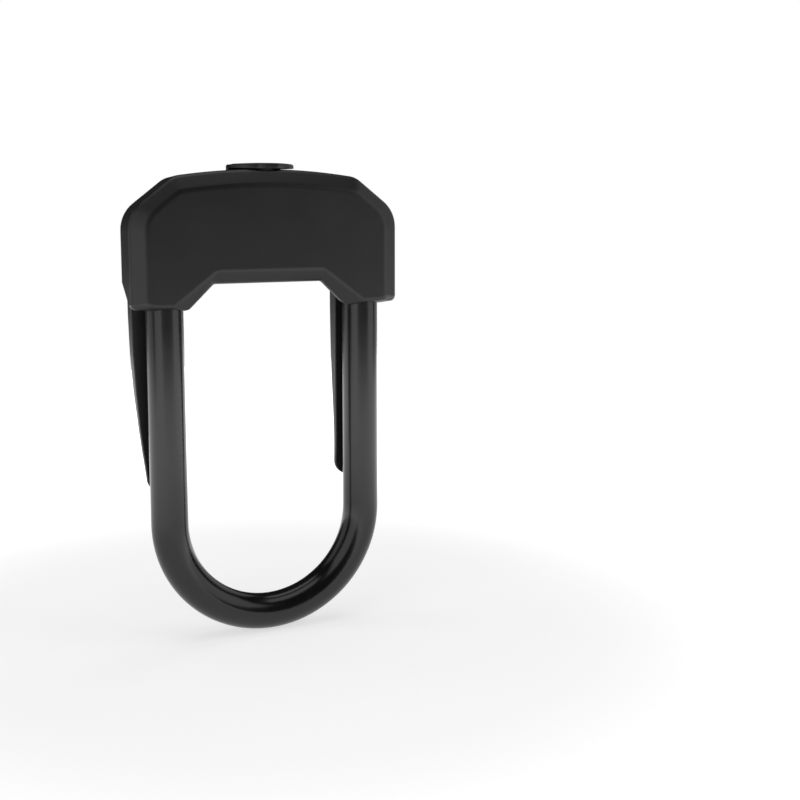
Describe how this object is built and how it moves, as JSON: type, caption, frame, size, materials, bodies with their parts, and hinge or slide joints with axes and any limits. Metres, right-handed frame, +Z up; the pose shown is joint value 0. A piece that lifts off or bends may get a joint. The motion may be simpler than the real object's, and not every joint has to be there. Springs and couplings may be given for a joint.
{
  "type": "u lock",
  "caption": "Compact bicycle U lock: jacketed steel shackle in a wide bevelled lock housing, with a belt clip and a reflective plate at the back and a hinged key hole cover on top.",
  "frame": {"origin": "on the ground under the middle of the lock, which stands on the bend of its shackle", "axes": "+Z up from the shackle's bend to the key hole cover, +Y from the housing's flat front face to the belt clip, +X to the right seen from the front"},
  "size_m": [0.116, 0.0282, 0.1976],
  "materials": {
    "painted_housing": "black nylon, finely sparked",
    "clip_plastic": "black nylon, finely sparked",
    "jacket": "glossy black vinyl jacket",
    "bar_steel": "hardened steel, plain",
    "body_steel": "black oxide steel",
    "bolt_steel": "turned steel",
    "cylinder_brass": "turned brass",
    "keyway_steel": "ground steel",
    "cap_plastic": "black moulded nylon",
    "seal_rubber": "black rubber",
    "screw_steel": "blackened steel",
    "reflector_border": "pale grey printed edge",
    "reflector_film": "grey reflective film, finely brushed"
  },
  "bodies": {
    "housing": {"front_cover": "painted_housing", "rear_cover": "painted_housing", "crossbar_body": "body_steel", "keyhole_collar": "cap_plastic", "key_cover_pin": "bolt_steel", "clip_frame": "clip_plastic", "clip_screws": "screw_steel", "cover_screws": "screw_steel", "reflector_base": "reflector_border", "reflector_plate": "reflector_film", "right_leg_seal": "seal_rubber", "left_leg_seal": "seal_rubber", "right_bore_plug": "body_steel", "left_bore_plug": "body_steel", "cylinder_body": "cylinder_brass", "cylinder_pin": "bolt_steel"},
    "shackle": {"shackle_bar": "bar_steel", "shackle_sleeve": "jacket"},
    "dust_cover": {"key_cover": "cap_plastic", "key_cover_seal": "seal_rubber"},
    "core": {"disc_carrier": "cylinder_brass", "keyway_disc": "keyway_steel", "lock_disc_1": "cylinder_brass", "lock_disc_2": "cylinder_brass", "lock_disc_3": "cylinder_brass", "lock_disc_4": "cylinder_brass", "lock_disc_5": "cylinder_brass", "lock_disc_6": "cylinder_brass", "lock_disc_7": "cylinder_brass", "lock_disc_8": "cylinder_brass", "lock_disc_9": "cylinder_brass", "disc_spacers": "cylinder_brass", "side_bar": "cylinder_brass", "driver_plate": "bolt_steel", "right_drive_pin": "bolt_steel", "left_drive_pin": "bolt_steel"},
    "right_bolt": {"right_bolt": "bolt_steel"},
    "left_bolt": {"left_bolt": "bolt_steel"}
  },
  "joints": [
    {"name": "shackle_slide", "type": "slide", "parent": "housing", "child": "shackle", "axis": [0, 0, -1], "range_m": [0, 0.045]},
    {"name": "key_cover_hinge", "type": "hinge", "parent": "housing", "child": "dust_cover", "pos_m": [0, 0.00732, 0.19575], "axis": [-1, 0, 0], "range_deg": [0, 105]},
    {"name": "core_turn", "type": "hinge", "parent": "housing", "child": "core", "pos_m": [0, -0.00278, 0.19], "axis": [0, 0, 1], "range_deg": [0, 90]},
    {"name": "right_bolt_slide", "type": "slide", "parent": "housing", "child": "right_bolt", "axis": [1, 0, 0], "range_m": [0, 0.005]},
    {"name": "left_bolt_slide", "type": "slide", "parent": "housing", "child": "left_bolt", "axis": [-1, 0, 0], "range_m": [0, 0.005]}
  ],
  "couplings": [
    {"joint": "right_bolt_slide", "follows": "core_turn", "m_per_rad": 0.003183},
    {"joint": "left_bolt_slide", "follows": "core_turn", "m_per_rad": 0.003183}
  ]
}
